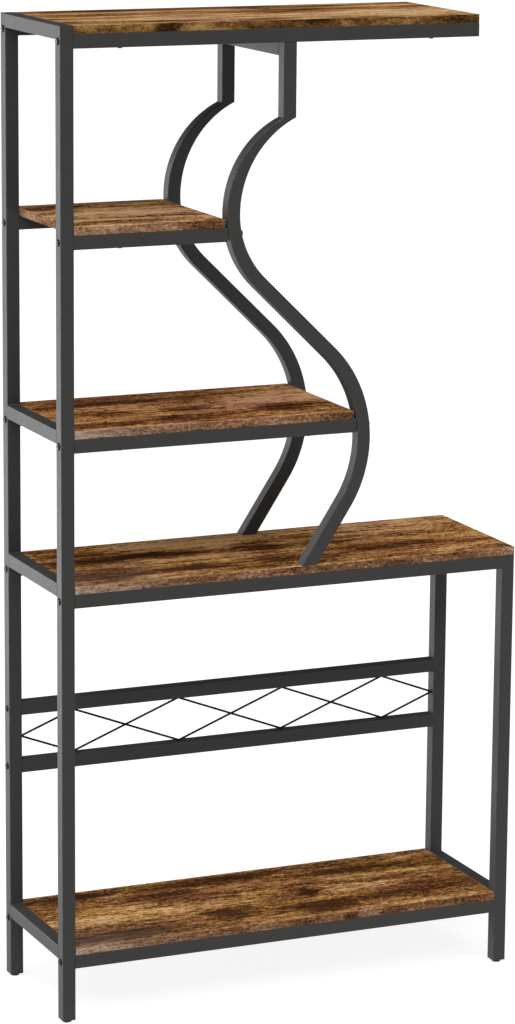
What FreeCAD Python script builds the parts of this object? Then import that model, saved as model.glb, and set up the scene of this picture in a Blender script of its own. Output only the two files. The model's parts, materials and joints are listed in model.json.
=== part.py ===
import FreeCAD, Part
import math
import os

# Tiered plant stand: a square-tube frame, five boards, an S-shaped divider and a wire lattice at the back.
# Millimetres. The origin is on the floor under the middle of the stand.
# +X runs to the right, +Y to the back and +Z up.

# Overall size
WIDTH = 900.0  # outer face of the left posts to outer face of the right legs
DEPTH = 300.0  # front face to rear face
TOP_SHELF_WIDTH = 804.0  # outer face of the left posts to the free end of the top shelf

# Shelf heights, from one board's top face to the next
BOTTOM_SHELF_HEIGHT = 142.0  # above the floor
FOURTH_SHELF_RISE = 670.0
THIRD_SHELF_RISE = 280.0
SECOND_SHELF_RISE = 360.0
TOP_SHELF_RISE = 348.0

# Square tube
TUBE = 25.0
TUBE_WALL = 1.0
TUBE_CORNER = 1.5  # outer corner radius
FOURTH_SIDE_RAIL_LIP = 4.0  # how far the left side rail stands above the fourth board

# Boards
BOARD_THICKNESS = 15.0
BOARD_EDGE = 0.8  # rounding of the board's edges
BOARD_END_GAP = 0.5  # to the posts and side rails
BOARD_BAR_GAP = 2.0  # to the S bars

# S frame
STUB_X = -17.0  # middle of the stubs, from the middle of the stand
UPPER_BEND_RADIUS = 172.5  # at the middle of the tube
UPPER_BEND_RISE = 7.7  # bend centre above the second board's top
UPPER_LEAN = 64.9  # degrees from upright, where the upper bend meets the stub
MIDDLE_LEAN = 46.0  # degrees from upright, between the bends
LOWER_BEND_RADIUS = 222.0  # at the middle of the tube
LOWER_BEND_DROP = 51.0  # bend centre below the third board's top
FOOT_LEAN = 32.9  # degrees from upright, below the lower bend
S_BAR_LIP = 4.0  # upright end of an S bar, welded to the stub above it
BAR_SEAT_GAP = 0.1  # rail end to the nearest point of an S bar

# Lattice
LATTICE_HEIGHT = 396.5  # underside of the lower bar above the floor
LATTICE_GAP = 85.5  # between the two bars
LATTICE_DIAMONDS = 4
WIRE_DIAMETER = 4.0
WIRE_BEND_RADIUS = 5.0
WIRE_GAP = 0.1  # between the two wires, and from a wire to the bars

# Bolts and their threaded inserts
BOLT_DIAMETER = 6.0
BOLT_HOLE_GAP = 0.25  # round the shank
BOLT_HEAD_DIAMETER = 12.5
BOLT_HEAD_HEIGHT = 3.0
BOLT_HEAD_ROUNDING = 2.0
BOLT_SOCKET = 4.0  # across the flats
BOLT_SOCKET_DEPTH = 1.8
BOLT_BITE = 12.0  # length of thread in the insert
BOLT_ACCESS_GAP = 1.0  # round a bolt head that passes through a rail's wall
THREAD_GAP = 0.05
INSERT_PLATE = 3.0
INSERT_BOSS_DIAMETER = 11.0
INSERT_LENGTH = 14.0
INSERT_GAP = 0.1  # to the walls of the tube

# Screws that hold the boards
SCREW_DIAMETER = 4.0
SCREW_HEAD_DIAMETER = 8.0
SCREW_HEAD_HEIGHT = 2.4
SCREW_HEAD_ROUNDING = 1.2
SCREW_CROSS_LENGTH = 4.0
SCREW_CROSS_WIDTH = 1.0
SCREW_CROSS_DEPTH = 1.0
SCREW_BITE = 10.0  # depth in the board
SCREW_INSET = 90.0  # from the ends of a rail

# Levelling feet
FOOT_PAD_DIAMETER = 17.0
FOOT_PAD_HEIGHT = 4.8
FOOT_PAD_ROUNDING = 1.0
FOOT_SEAT_GAP = 0.2  # pad to the leg's lower end
STUD_DIAMETER = 6.0
STUD_HEIGHT = 26.0  # above the pad
STUD_SEAT = 2.5  # depth in the pad
STUD_GAP = 0.05
PLUG_HEIGHT = 18.0

# Cutting tools reach this far past what they cut
PAST = 2.0

# Places worked out from the sizes
LEFT = -WIDTH / 2
RIGHT = WIDTH / 2
FRONT = -DEPTH / 2
REAR = DEPTH / 2
LEFT_INNER = LEFT + TUBE
RIGHT_INNER = RIGHT - TUBE
FRONT_INNER = FRONT + TUBE
REAR_INNER = REAR - TUBE
FRONT_MIDDLE = FRONT + TUBE / 2
REAR_MIDDLE = REAR - TUBE / 2
TOP_SHELF_END = LEFT + TOP_SHELF_WIDTH
LEG_BOTTOM = FOOT_PAD_HEIGHT + FOOT_SEAT_GAP

BOTTOM_TOP = BOTTOM_SHELF_HEIGHT
FOURTH_TOP = BOTTOM_TOP + FOURTH_SHELF_RISE
THIRD_TOP = FOURTH_TOP + THIRD_SHELF_RISE
SECOND_TOP = THIRD_TOP + SECOND_SHELF_RISE
TOP_TOP = SECOND_TOP + TOP_SHELF_RISE
RAIL_DROP = BOARD_THICKNESS + TUBE
STUB_TOP = TOP_TOP - RAIL_DROP
LATTICE_UPPER_HEIGHT = LATTICE_HEIGHT + TUBE + LATTICE_GAP

HOLE_RADIUS = BOLT_DIAMETER / 2 + BOLT_HOLE_GAP
ACCESS_RADIUS = BOLT_HEAD_DIAMETER / 2 + BOLT_ACCESS_GAP
THREAD_RADIUS = BOLT_DIAMETER / 2 + THREAD_GAP
SCREW_HOLE_RADIUS = SCREW_DIAMETER / 2 + THREAD_GAP
STUD_HOLE_RADIUS = STUD_DIAMETER / 2 + STUD_GAP
BORE = TUBE - 2 * TUBE_WALL

Vector = FreeCAD.Vector
ORIGIN = Vector(0, 0, 0)
X_AXIS = Vector(1, 0, 0)
Y_AXIS = Vector(0, 1, 0)
Z_AXIS = Vector(0, 0, 1)


# Shapes that several pieces share


def box(low, high):
    """Block between two corners."""
    size = high - low
    return Part.makeBox(size.x, size.y, size.z, low)


def edges_along(shape, axis):
    """Straight edges of a shape that run along an axis."""
    found = []
    for edge in shape.Edges:
        run = edge.Vertexes[-1].Point - edge.Vertexes[0].Point
        if run.cross(axis).Length < run.Length / 1000:
            found.append(edge)
    return found


def tube(low, high, axis):
    """Square tube that fills the block between two corners and is open at both ends along the axis."""
    outside = box(low, high)
    outside = outside.makeFillet(TUBE_CORNER, edges_along(outside, axis))
    wall = Vector(TUBE_WALL, TUBE_WALL, TUBE_WALL) - axis * (TUBE_WALL + PAST)
    return outside.cut(box(low + wall, high - wall))


def rail_x(start, end, front, bottom):
    """Tube along X from start to end, with its front face and underside given."""
    return tube(Vector(start, front, bottom), Vector(end, front + TUBE, bottom + TUBE), X_AXIS)


def rail_y(left, bottom, front, rear):
    """Tube along Y from front to rear, with its left face and underside given."""
    return tube(Vector(left, front, bottom), Vector(left + TUBE, rear, bottom + TUBE), Y_AXIS)


def post(left, front, bottom, top):
    """Upright tube from bottom to top, with its left and front faces given."""
    return tube(Vector(left, front, bottom), Vector(left + TUBE, front + TUBE, top), Z_AXIS)


def mitre(shape, outer, inner, dropped, depth):
    """Cuts a tube's end along the line from its outer to its inner corner.

    The side of the third corner is dropped. All three corners are on one face of the tube, and depth leads
    from there to its other face.
    """
    along = (inner - outer).normalize() * PAST
    aside = (dropped - (outer + inner) / 2) * 2
    beyond = Vector(depth).normalize() * PAST
    base = [outer - along - beyond, inner + along - beyond, dropped + aside - beyond]
    wedge = Part.Face(Part.makePolygon(base + base[:1])).extrude(depth + beyond * 2)
    return shape.cut(wedge)


def drill(shape, start, direction, radius, length):
    """Round hole of a length from a point on a face, begun outside the face."""
    return shape.cut(Part.makeCylinder(radius, length + PAST, start - direction * PAST, direction))


def drill_through(shape, start, direction, radius, length):
    """Round hole from a point on one face right through the face on the other side."""
    return drill(shape, start, direction, radius, length + PAST)


def placed(shape, seat, direction):
    """Turns a shape that was made along +Z to a direction and moves its origin to a seat."""
    shape.Placement = FreeCAD.Placement(seat, FreeCAD.Rotation(Z_AXIS, direction))
    return shape


def moved(shape, step):
    """Copy of a shape, moved by a step."""
    copy = shape.copy()
    copy.translate(step)
    return copy


def hexagon(across_flats, height):
    """Hexagonal prism on the origin, up along +Z."""
    reach = across_flats / math.sqrt(3)
    corners = []
    for step in range(7):
        angle = math.radians(60 * step)
        corners.append(Vector(reach * math.cos(angle), reach * math.sin(angle), 0))
    return Part.Face(Part.makePolygon(corners)).extrude(Z_AXIS * height)


def fastener(head_diameter, head_height, rounding, shank_diameter, shank_length):
    """Head below the origin with a rounded rim, and a shank above it along +Z."""
    head = Part.makeCylinder(head_diameter / 2, head_height, Z_AXIS * -head_height)
    rim = [edge for edge in head.Edges if edge.BoundBox.ZMax < -head_height / 2]
    head = head.makeFillet(rounding, rim)
    return head.fuse(Part.makeCylinder(shank_diameter / 2, shank_length)).removeSplitter()


def bolt(seat, direction, length):
    """Button-head bolt: its head is on the seat and its shank points along the direction."""
    body = fastener(BOLT_HEAD_DIAMETER, BOLT_HEAD_HEIGHT, BOLT_HEAD_ROUNDING, BOLT_DIAMETER, length)
    socket = hexagon(BOLT_SOCKET, BOLT_SOCKET_DEPTH + PAST)
    socket.translate(Z_AXIS * -(BOLT_HEAD_HEIGHT + PAST))
    return placed(body.cut(socket), seat, direction)


def screw(seat, length):
    """Pan-head screw that points up from its seat, with a cross in its head."""
    body = fastener(SCREW_HEAD_DIAMETER, SCREW_HEAD_HEIGHT, SCREW_HEAD_ROUNDING, SCREW_DIAMETER, length)
    below = -SCREW_HEAD_HEIGHT - PAST
    ceiling = -SCREW_HEAD_HEIGHT + SCREW_CROSS_DEPTH
    half_length = SCREW_CROSS_LENGTH / 2
    half_width = SCREW_CROSS_WIDTH / 2
    for half_x, half_y in ((half_length, half_width), (half_width, half_length)):
        body = body.cut(box(Vector(-half_x, -half_y, below), Vector(half_x, half_y, ceiling)))
    return placed(body, seat, Z_AXIS)


def insert(mouth, direction):
    """Threaded insert in the end of a tube: a square plate at the mouth with a boss behind it."""
    half = BORE / 2 - INSERT_GAP
    plate = box(Vector(-half, -half, 0), Vector(half, half, INSERT_PLATE))
    body = plate.fuse(Part.makeCylinder(INSERT_BOSS_DIAMETER / 2, INSERT_LENGTH))
    return placed(drill_through(body, ORIGIN, Z_AXIS, THREAD_RADIUS, INSERT_LENGTH), mouth, direction)


def polar(centre, radius, angle):
    """Point in the XZ plane at a distance from a centre, and at an angle that turns from +X to +Z."""
    return centre + Vector(radius * math.cos(angle), 0, radius * math.sin(angle))


def line(start, end):
    """Straight edge between two points."""
    return Part.LineSegment(start, end).toShape()


def arc(centre, radius, start, end):
    """Arc in the XZ plane from one angle to another."""
    middle = polar(centre, radius, (start + end) / 2)
    return Part.Arc(polar(centre, radius, start), middle, polar(centre, radius, end)).toShape()


# S bar: a short upright end, the upper bend, a straight run, the lower bend and a straight foot.
# Down to the middle of the upper bend it keeps the stub's width, measured level. From there on it is as wide
# as the tube, measured square to its run.

UPPER = math.radians(UPPER_LEAN)
MIDDLE = math.radians(MIDDLE_LEAN)
FOOT = math.radians(FOOT_LEAN)
UPPER_OUTER = UPPER_BEND_RADIUS + TUBE / 2
UPPER_CENTRE_X = STUB_X - TUBE / 2 + UPPER_OUTER * math.cos(UPPER)
UPPER_CENTRE = Vector(UPPER_CENTRE_X, 0, SECOND_TOP + UPPER_BEND_RISE)
UPPER_RIGHT_CENTRE = UPPER_CENTRE + X_AXIS * TUBE
KINK = UPPER_CENTRE.z + UPPER_OUTER * math.sin(UPPER)
STUB_BOTTOM = KINK + S_BAR_LIP
BOTH_RADII = UPPER_BEND_RADIUS + LOWER_BEND_RADIUS
CENTRES_APART = UPPER_CENTRE.z - (THIRD_TOP - LOWER_BEND_DROP)
MIDDLE_RUN = (CENTRES_APART - BOTH_RADII * math.sin(MIDDLE)) / math.cos(MIDDLE)
LOWER_CENTRE_X = UPPER_CENTRE.x + MIDDLE_RUN * math.sin(MIDDLE) - BOTH_RADII * math.cos(MIDDLE)
LOWER_CENTRE = Vector(LOWER_CENTRE_X, 0, UPPER_CENTRE.z - CENTRES_APART)


def foot_point(radius, height):
    """Place at a height on the straight foot, on the line that leaves the lower bend at a radius."""
    start = polar(LOWER_CENTRE, radius, -FOOT)
    return Vector(start.x - (start.z - height) * math.tan(FOOT), 0, height)


def s_block(half, top, foot):
    """Stub and S bar in one, between two heights: half of the width to each side of the middle line."""
    upper_outer = UPPER_BEND_RADIUS + half
    upper_inner = UPPER_BEND_RADIUS - half
    upper_right = UPPER_BEND_RADIUS + TUBE - half
    lower_outer = LOWER_BEND_RADIUS + half
    lower_inner = LOWER_BEND_RADIUS - half
    turn = math.pi + MIDDLE

    # Both sides of the upper bend begin where they meet the line of the stub's face
    left_top = Vector(STUB_X - half, 0, top)
    left_start = math.acos((left_top.x - UPPER_CENTRE.x) / upper_outer)
    left_foot = foot_point(lower_inner, foot)
    right_top = Vector(STUB_X + half, 0, top)
    right_start = math.acos((right_top.x - UPPER_RIGHT_CENTRE.x) / upper_right)
    right_foot = foot_point(lower_outer, foot)

    outline = [
        line(left_top, polar(UPPER_CENTRE, upper_outer, left_start)),
        arc(UPPER_CENTRE, upper_outer, left_start, turn),
        line(polar(UPPER_CENTRE, upper_outer, turn), polar(LOWER_CENTRE, lower_inner, MIDDLE)),
        arc(LOWER_CENTRE, lower_inner, MIDDLE, -FOOT),
        line(polar(LOWER_CENTRE, lower_inner, -FOOT), left_foot),
        line(left_foot, right_foot),
        line(right_foot, polar(LOWER_CENTRE, lower_outer, -FOOT)),
        arc(LOWER_CENTRE, lower_outer, -FOOT, MIDDLE),
        line(polar(LOWER_CENTRE, lower_outer, MIDDLE), polar(UPPER_CENTRE, upper_inner, turn)),
        arc(UPPER_CENTRE, upper_inner, turn, math.pi),
        arc(UPPER_RIGHT_CENTRE, upper_right, math.pi, right_start),
        line(polar(UPPER_RIGHT_CENTRE, upper_right, right_start), right_top),
        line(right_top, left_top),
    ]
    block = Part.Face(Part.Wire(outline)).extrude(Y_AXIS * (2 * half))
    return moved(block, Y_AXIS * -half)


def slab(bottom, top):
    """Level block between two heights, as large as the stand."""
    return box(Vector(LEFT, FRONT, bottom), Vector(RIGHT, REAR, top))


def s_bar():
    """Bent square tube from the stub's lower end to the fourth board, in the XZ plane."""
    outside = s_block(TUBE / 2, STUB_TOP, FOURTH_TOP).common(slab(FOURTH_TOP, STUB_BOTTOM))
    rims = []
    for edge in outside.Edges:
        reach = edge.BoundBox
        if reach.YLength < TUBE / 2 and reach.ZLength > TUBE_WALL:
            rims.append(edge)
    outside = outside.makeFillet(TUBE_CORNER, rims)
    return outside.cut(s_block(TUBE / 2 - TUBE_WALL, STUB_TOP, FOURTH_TOP - PAST))


def s_foot_insert():
    """Threaded insert that fills the S bar's slanted foot, in the XZ plane."""
    filling = s_block(BORE / 2 - INSERT_GAP, STUB_TOP, FOURTH_TOP)
    filling = filling.common(slab(FOURTH_TOP, FOURTH_TOP + INSERT_LENGTH))
    return drill_through(filling, Vector(S_FOOT_X, 0, FOURTH_TOP), Z_AXIS, THREAD_RADIUS, INSERT_LENGTH)


def s_bar_reach(bottom, top):
    """Leftmost and rightmost place of the S bar between two heights."""
    reach = S_BAR.common(slab(bottom, top)).optimalBoundingBox(False, False)
    return reach.XMin, reach.XMax


S_BAR = s_bar()
S_FOOT_X = foot_point(LOWER_BEND_RADIUS, FOURTH_TOP).x


# Shelves, from the top down: the height of each board's top face, and where its rails and its board end

SHELF_TOPS = {
    "top": TOP_TOP,
    "second": SECOND_TOP,
    "third": THIRD_TOP,
    "fourth": FOURTH_TOP,
    "bottom": BOTTOM_TOP,
}
RAIL_ENDS = {"top": TOP_SHELF_END, "fourth": RIGHT_INNER, "bottom": RIGHT_INNER}
BOARD_ENDS = {"top": TOP_SHELF_END, "fourth": RIGHT, "bottom": RIGHT_INNER - BOARD_END_GAP}
for shelf in ("second", "third"):
    height = SHELF_TOPS[shelf]
    RAIL_ENDS[shelf] = s_bar_reach(height - RAIL_DROP, height - BOARD_THICKNESS)[0] - BAR_SEAT_GAP
    BOARD_ENDS[shelf] = s_bar_reach(height - BOARD_THICKNESS, height)[0] - BOARD_BAR_GAP

SIDES = {"front": FRONT_MIDDLE, "rear": REAR_MIDDLE}
LATTICE_BARS = {"lower": LATTICE_HEIGHT, "upper": LATTICE_UPPER_HEIGHT}


def rail_middle(shelf):
    """Height of the middle of a shelf's rails."""
    return SHELF_TOPS[shelf] - BOARD_THICKNESS - TUBE / 2


LATTICE_MIDDLES = [bottom + TUBE / 2 for bottom in LATTICE_BARS.values()]
LEFT_BOLTS = {side: [rail_middle(shelf) for shelf in SHELF_TOPS] for side in SIDES}
LEFT_BOLTS["rear"] += LATTICE_MIDDLES
RIGHT_BOLTS = {side: [rail_middle("fourth"), rail_middle("bottom")] for side in SIDES}
RIGHT_BOLTS["rear"] += LATTICE_MIDDLES
S_BOLTS = {"second": rail_middle("second"), "third": rail_middle("third")}

parts = {}


# Left side frame: two posts and a mitred top rail, with side rails between the posts


def left_post(side):
    """Full-height post with its top mitred to the top rail and a hole for each rail's bolt."""
    middle = SIDES[side]
    inward = 1 if side == "front" else -1
    outer = Vector(LEFT, middle - inward * TUBE / 2, TOP_TOP)
    inner = Vector(LEFT, middle + inward * TUBE / 2, TOP_TOP - TUBE)
    dropped = Vector(LEFT, inner.y, outer.z)
    shape = post(LEFT, middle - TUBE / 2, LEG_BOTTOM, TOP_TOP)
    shape = mitre(shape, outer, inner, dropped, X_AXIS * TUBE)
    for height in LEFT_BOLTS[side]:
        shape = drill_through(shape, Vector(LEFT, middle, height), X_AXIS, HOLE_RADIUS, TUBE)
    return shape


def left_top_rail():
    """Rail across the tops of the two left posts, mitred at both ends."""
    shape = rail_y(LEFT, TOP_TOP - TUBE, FRONT, REAR)
    for outer_y, inner_y in ((FRONT, FRONT_INNER), (REAR, REAR_INNER)):
        outer = Vector(LEFT, outer_y, TOP_TOP)
        inner = Vector(LEFT, inner_y, TOP_TOP - TUBE)
        dropped = Vector(LEFT, outer_y, TOP_TOP - TUBE)
        shape = mitre(shape, outer, inner, dropped, X_AXIS * TUBE)
    return shape


SIDE_RAIL_TOPS = {"third": THIRD_TOP, "fourth": FOURTH_TOP + FOURTH_SIDE_RAIL_LIP, "bottom": BOTTOM_TOP}
for side in SIDES:
    parts["left_" + side + "_post"] = left_post(side)
parts["left_top_rail"] = left_top_rail()
for shelf, height in SIDE_RAIL_TOPS.items():
    parts["left_" + shelf + "_side_rail"] = rail_y(LEFT, height - TUBE, FRONT_INNER, REAR_INNER)


# Right lower frame: two legs under the fourth board, with side rails between them


def right_leg(side):
    """Leg up to the underside of the fourth board, with a hole for each rail's bolt."""
    middle = SIDES[side]
    shape = post(RIGHT_INNER, middle - TUBE / 2, LEG_BOTTOM, FOURTH_TOP - BOARD_THICKNESS)
    for height in RIGHT_BOLTS[side]:
        shape = drill_through(shape, Vector(RIGHT_INNER, middle, height), X_AXIS, HOLE_RADIUS, TUBE)
    return shape


for side in SIDES:
    parts["right_" + side + "_leg"] = right_leg(side)
parts["right_upper_side_rail"] = rail_y(RIGHT_INNER, FOURTH_TOP - RAIL_DROP, FRONT_INNER, REAR_INNER)
parts["right_lower_side_rail"] = rail_y(RIGHT_INNER, BOTTOM_TOP - TUBE, FRONT_INNER, REAR_INNER)


# S frame: a stub and an S bar at the front and at the rear, with a cross bar between the stubs


def bolted_s_bar(middle):
    """S bar at a depth, with holes for the bolts of the second and third shelves' rails."""
    shape = moved(S_BAR, Y_AXIS * middle)
    for height in S_BOLTS.values():
        shape = drill_through(shape, Vector(LEFT, middle, height), X_AXIS, HOLE_RADIUS, WIDTH)
    return shape


for side, middle in SIDES.items():
    parts[side + "_s_stub"] = post(STUB_X - TUBE / 2, middle - TUBE / 2, STUB_BOTTOM, STUB_TOP)
    parts[side + "_s_bar"] = bolted_s_bar(middle)
parts["s_frame_cross_bar"] = rail_y(STUB_X - TUBE / 2, STUB_TOP - TUBE, FRONT_INNER, REAR_INNER)


# Rails under the boards


def screw_places(shelf):
    """X of the screws along one of a shelf's rails."""
    return (LEFT_INNER + SCREW_INSET, RAIL_ENDS[shelf] - SCREW_INSET)


def shelf_rail(shelf, middle):
    """Rail along the front or rear of a shelf, with holes for its board's screws."""
    bottom = SHELF_TOPS[shelf] - RAIL_DROP
    shape = rail_x(LEFT_INNER, RAIL_ENDS[shelf], middle - TUBE / 2, bottom)
    for x in screw_places(shelf):
        shape = drill_through(shape, Vector(x, middle, bottom), Z_AXIS, SCREW_HOLE_RADIUS, TUBE)
    return shape


def top_rail(side):
    """Rail of the top shelf: mitred at its free end, with room for the bolt into the stub below it."""
    middle = SIDES[side]
    inward = 1 if side == "front" else -1
    bottom = TOP_TOP - RAIL_DROP
    outer = Vector(TOP_SHELF_END, middle - inward * TUBE / 2, bottom)
    inner = Vector(TOP_SHELF_END - TUBE, middle + inward * TUBE / 2, bottom)
    dropped = Vector(outer.x, inner.y, bottom)
    shape = mitre(shelf_rail("top", middle), outer, inner, dropped, Z_AXIS * TUBE)
    shape = drill(shape, Vector(STUB_X, middle, bottom), Z_AXIS, HOLE_RADIUS, TUBE / 2)
    return drill(shape, Vector(STUB_X, middle, bottom + TUBE), -Z_AXIS, ACCESS_RADIUS, TUBE / 2)


def top_end_rail():
    """Rail across the free end of the top shelf, mitred at both ends."""
    bottom = TOP_TOP - RAIL_DROP
    left = TOP_SHELF_END - TUBE
    shape = rail_y(left, bottom, FRONT, REAR)
    for outer_y, inner_y in ((FRONT, FRONT_INNER), (REAR, REAR_INNER)):
        outer = Vector(TOP_SHELF_END, outer_y, bottom)
        inner = Vector(left, inner_y, bottom)
        shape = mitre(shape, outer, inner, Vector(left, outer_y, bottom), Z_AXIS * TUBE)
    return shape


def fourth_rail(middle):
    """Rail of the fourth shelf, with room for the bolt up into the S bar's foot."""
    bottom = FOURTH_TOP - RAIL_DROP
    shape = shelf_rail("fourth", middle)
    shape = drill(shape, Vector(S_FOOT_X, middle, bottom), Z_AXIS, ACCESS_RADIUS, TUBE / 2)
    return drill(shape, Vector(S_FOOT_X, middle, bottom + TUBE), -Z_AXIS, HOLE_RADIUS, TUBE / 2)


for side, middle in SIDES.items():
    parts["top_" + side + "_rail"] = top_rail(side)
    parts["second_" + side + "_rail"] = shelf_rail("second", middle)
    parts["third_" + side + "_rail"] = shelf_rail("third", middle)
    parts["fourth_" + side + "_rail"] = fourth_rail(middle)
    parts["bottom_" + side + "_rail"] = shelf_rail("bottom", middle)
parts["top_end_rail"] = top_end_rail()


# Lattice across the back of the lower bay


def lattice_wire(first_peak, depth):
    """Zigzag wire between the two bars: each run crosses the middle height, and each bend nears a bar."""
    span = (RIGHT_INNER - LEFT_INNER) / LATTICE_DIAMONDS
    quarter = span / 2
    rise = LATTICE_GAP / 2 - WIRE_DIAMETER / 2 - WIRE_GAP
    centre_rise = rise - WIRE_BEND_RADIUS
    middle = Vector(LEFT_INNER, depth, LATTICE_HEIGHT + TUBE + LATTICE_GAP / 2)
    slope = math.atan2(centre_rise, quarter) + math.asin(WIRE_BEND_RADIUS / math.hypot(quarter, centre_rise))

    edges = []
    lead = Vector(-PAST, 0, -first_peak * PAST * math.tan(slope))
    last = middle + lead
    for diamond in range(LATTICE_DIAMONDS):
        up = first_peak if diamond % 2 == 0 else -first_peak
        centre = middle + Vector(quarter + diamond * span, 0, up * centre_rise)
        bend_start = polar(centre, WIRE_BEND_RADIUS, up * (math.pi / 2 + slope))
        bend_end = polar(centre, WIRE_BEND_RADIUS, up * (math.pi / 2 - slope))
        edges.append(line(last, bend_start))
        edges.append(Part.Arc(bend_start, centre + Z_AXIS * (up * WIRE_BEND_RADIUS), bend_end).toShape())
        last = bend_end
    end = Vector(RIGHT_INNER + PAST, depth, middle.z - up * PAST * math.tan(slope))
    edges.append(line(last, end))

    path = Part.Wire(edges)
    start = path.Edges[0]
    direction = start.tangentAt(start.FirstParameter)
    section = Part.makeCircle(WIRE_DIAMETER / 2, start.Vertexes[0].Point, direction)
    wire = path.makePipeShell([Part.Wire([section])], True, False)
    bay = box(Vector(LEFT_INNER, FRONT, 0), Vector(RIGHT_INNER, REAR, TOP_TOP))
    return wire.common(bay)


for name, bottom in LATTICE_BARS.items():
    parts["lattice_" + name + "_bar"] = rail_x(LEFT_INNER, RIGHT_INNER, REAR_INNER, bottom)
WIRE_OFFSET = (WIRE_DIAMETER + WIRE_GAP) / 2
parts["lattice_front_wire"] = lattice_wire(1, REAR_MIDDLE - WIRE_OFFSET)
parts["lattice_rear_wire"] = lattice_wire(-1, REAR_MIDDLE + WIRE_OFFSET)


# Boards


def board(shelf):
    """Board on its two rails, with pilot holes for its screws."""
    top = SHELF_TOPS[shelf]
    underside = top - BOARD_THICKNESS
    shape = box(Vector(LEFT_INNER + BOARD_END_GAP, FRONT, underside), Vector(BOARD_ENDS[shelf], REAR, top))
    shape = shape.makeFillet(BOARD_EDGE, shape.Edges)
    for middle in SIDES.values():
        for x in screw_places(shelf):
            shape = drill(shape, Vector(x, middle, underside), Z_AXIS, SCREW_HOLE_RADIUS, SCREW_BITE)
    return shape


for shelf in SHELF_TOPS:
    parts[shelf + "_board"] = board(shelf)
for middle in SIDES.values():
    foot = Vector(S_FOOT_X, middle, FOURTH_TOP - BOARD_THICKNESS)
    parts["fourth_board"] = drill_through(parts["fourth_board"], foot, Z_AXIS, HOLE_RADIUS, BOARD_THICKNESS)


# Bolts, inserts and screws, each kind in groups of separate pieces

left_bolts = []
left_inserts = []
right_bolts = []
right_inserts = []
s_rail_bolts = []
s_rail_inserts = []
s_top_bolts = []
s_foot_bolts = []
s_frame_inserts = []
for side, middle in SIDES.items():
    for height in LEFT_BOLTS[side]:
        left_bolts.append(bolt(Vector(LEFT, middle, height), X_AXIS, TUBE + BOLT_BITE))
        left_inserts.append(insert(Vector(LEFT_INNER, middle, height), X_AXIS))
    for height in RIGHT_BOLTS[side]:
        right_bolts.append(bolt(Vector(RIGHT, middle, height), -X_AXIS, TUBE + BOLT_BITE))
        right_inserts.append(insert(Vector(RIGHT_INNER, middle, height), -X_AXIS))
    for shelf, height in S_BOLTS.items():
        head_radius = BOLT_HEAD_DIAMETER / 2
        seat = s_bar_reach(height - head_radius, height + head_radius)[1]
        length = seat - RAIL_ENDS[shelf] + BOLT_BITE
        s_rail_bolts.append(bolt(Vector(seat, middle, height), -X_AXIS, length))
        s_rail_inserts.append(insert(Vector(RAIL_ENDS[shelf], middle, height), -X_AXIS))
    s_top_bolts.append(bolt(Vector(STUB_X, middle, STUB_TOP + TUBE_WALL), -Z_AXIS, TUBE_WALL + BOLT_BITE))
    s_frame_inserts.append(insert(Vector(STUB_X, middle, STUB_TOP), -Z_AXIS))
    under_wall = FOURTH_TOP - BOARD_THICKNESS - TUBE_WALL
    reach = TUBE_WALL + BOARD_THICKNESS + BOLT_BITE
    s_foot_bolts.append(bolt(Vector(S_FOOT_X, middle, under_wall), Z_AXIS, reach))
    s_frame_inserts.append(moved(s_foot_insert(), Y_AXIS * middle))

groups = {
    "left_post_bolts": left_bolts,
    "left_rail_inserts": left_inserts,
    "right_leg_bolts": right_bolts,
    "right_rail_inserts": right_inserts,
    "s_bar_bolts": s_rail_bolts,
    "s_bar_rail_inserts": s_rail_inserts,
    "s_stub_bolts": s_top_bolts,
    "s_foot_bolts": s_foot_bolts,
    "s_frame_inserts": s_frame_inserts,
}
for shelf, top in SHELF_TOPS.items():
    seats = [Vector(x, middle, top - RAIL_DROP) for middle in SIDES.values() for x in screw_places(shelf)]
    groups[shelf + "_board_screws"] = [screw(seat, TUBE + SCREW_BITE) for seat in seats]


# Levelling feet: a threaded plug in each leg, and a pad on a stud that screws into it


def leg_plug(x, y):
    """Square plug in a leg's lower end, bored for the stud."""
    half = BORE / 2 - INSERT_GAP
    shape = box(Vector(x - half, y - half, LEG_BOTTOM), Vector(x + half, y + half, LEG_BOTTOM + PLUG_HEIGHT))
    return drill_through(shape, Vector(x, y, LEG_BOTTOM), Z_AXIS, STUD_HOLE_RADIUS, PLUG_HEIGHT)


def foot_pad(x, y):
    """Round pad with a rounded lower rim and a seat for the stud."""
    shape = Part.makeCylinder(FOOT_PAD_DIAMETER / 2, FOOT_PAD_HEIGHT, Vector(x, y, 0))
    rim = [edge for edge in shape.Edges if edge.BoundBox.ZMax < FOOT_PAD_HEIGHT / 2]
    shape = shape.makeFillet(FOOT_PAD_ROUNDING, rim)
    return drill(shape, Vector(x, y, FOOT_PAD_HEIGHT), -Z_AXIS, STUD_HOLE_RADIUS, STUD_SEAT)


def foot_stud(x, y):
    """Stud that stands in the pad."""
    base = Vector(x, y, FOOT_PAD_HEIGHT - STUD_SEAT)
    return Part.makeCylinder(STUD_DIAMETER / 2, STUD_SEAT + STUD_HEIGHT, base)


LEGS = {"left": LEFT + TUBE / 2, "right": RIGHT - TUBE / 2}
plugs = []
for edge_name, x in LEGS.items():
    for side, y in SIDES.items():
        plugs.append(leg_plug(x, y))
        parts[edge_name + "_" + side + "_foot_pad"] = foot_pad(x, y)
        parts[edge_name + "_" + side + "_foot_stud"] = foot_stud(x, y)
groups["leg_plugs"] = plugs

for name, solids in groups.items():
    parts[name] = Part.makeCompound(solids)

os.makedirs("parts", exist_ok=True)
for name, shape in parts.items():
    shape.exportStep("parts/" + name + ".step")
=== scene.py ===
import json
import math
import bpy
from mathutils import Matrix, Vector

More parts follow.
